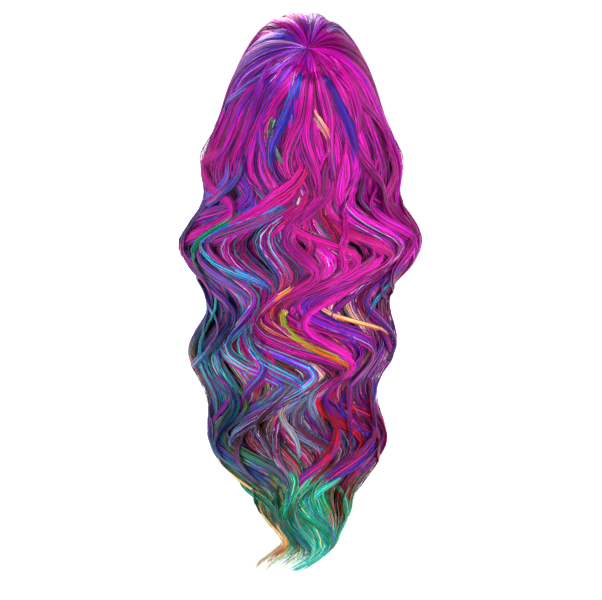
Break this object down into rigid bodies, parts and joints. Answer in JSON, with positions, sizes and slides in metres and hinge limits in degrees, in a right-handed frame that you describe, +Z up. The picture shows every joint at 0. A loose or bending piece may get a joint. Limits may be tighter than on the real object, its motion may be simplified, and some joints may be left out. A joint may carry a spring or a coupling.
{
  "type": "costume wig",
  "caption": "Long wavy costume wig on a stretch cap with wefts, ear tabs, hook adjusters and a free-swinging curtain of hair.",
  "frame": {"origin": "middle of the wearer's head, level with the hat line, where the cap seats on a head", "axes": "+Z up, -Y the wearer's face side, +X the wearer's left"},
  "size_m": [0.2919, 0.2303, 0.7425],
  "materials": {
    "hair": "glossy synthetic fibre, many colours from magenta roots to teal and orange ends",
    "net": "fine stretch net",
    "skin_patch": "matt skin-coloured knit",
    "band": "woven elastic binding",
    "weft": "stitched header",
    "lining": "soft velvet",
    "hook": "moulded nylon",
    "stay": "thin bendable strip",
    "label": "satin, blank"
  },
  "bodies": {
    "cap": {"cap_net": "net", "crown_patch": "skin_patch", "front_band": "band", "forehead_lining": "lining", "side_band_left": "band", "side_band_right": "band", "nape_band": "band", "rib_centre_back": "band", "rib_back_left": "band", "rib_back_right": "band", "rib_side_left": "band", "rib_side_right": "band", "rib_front": "band", "weft_row_1": "weft", "weft_row_2": "weft", "weft_row_3": "weft", "weft_row_4": "weft", "weft_row_5": "weft", "weft_row_6": "weft", "weft_row_7": "weft", "weft_row_8": "weft", "weft_row_9": "weft", "weft_row_10": "weft", "crown_weft": "weft", "front_weft_1": "weft", "front_weft_2": "weft", "front_weft_3": "weft", "loop_tape_left": "band", "loop_tape_right": "band", "strap_left": "band", "strap_right": "band", "care_label": "label", "crown_hair": "hair", "fringe_hair": "hair", "side_hair_left": "hair", "side_hair_right": "hair", "back_hair_left": "hair", "back_hair_right": "hair", "nape_hair_left": "hair", "nape_hair_centre": "hair", "nape_hair_right": "hair", "temple_hair_left": "hair", "temple_hair_right": "hair"},
    "long_hair": {"long_lock_left": "hair", "long_lock_centre": "hair", "long_lock_right": "hair", "front_lock_left": "hair", "front_lock_right": "hair"},
    "ear_flap_left": {"ear_tab_left": "band", "ear_stay_left": "stay"},
    "ear_flap_right": {"ear_tab_right": "band", "ear_stay_right": "stay"},
    "adjuster_left": {"hook_left": "hook"},
    "adjuster_right": {"hook_right": "hook"}
  },
  "joints": [
    {"name": "long_hair_sway", "type": "hinge", "parent": "cap", "child": "long_hair", "pos_m": [0.0068, 0, 0], "axis": [0, 1, 0], "range_deg": [-15, 15]},
    {"name": "ear_flap_left_fold", "type": "hinge", "parent": "cap", "child": "ear_flap_left", "pos_m": [0.0762, -0.019, -0.01562], "axis": [0.1609, 0.987, 0], "range_deg": [0, 40]},
    {"name": "ear_flap_right_fold", "type": "hinge", "parent": "cap", "child": "ear_flap_right", "pos_m": [-0.0762, -0.019, -0.01562], "axis": [0.1609, -0.987, 0], "range_deg": [0, 40]},
    {"name": "adjuster_left_slide", "type": "slide", "parent": "cap", "child": "adjuster_left", "axis": [-0.7252, 0.6885, 0], "range_m": [0, 0.016]},
    {"name": "adjuster_right_slide", "type": "slide", "parent": "cap", "child": "adjuster_right", "axis": [0.7252, 0.6885, 0], "range_m": [0, 0.016]}
  ]
}
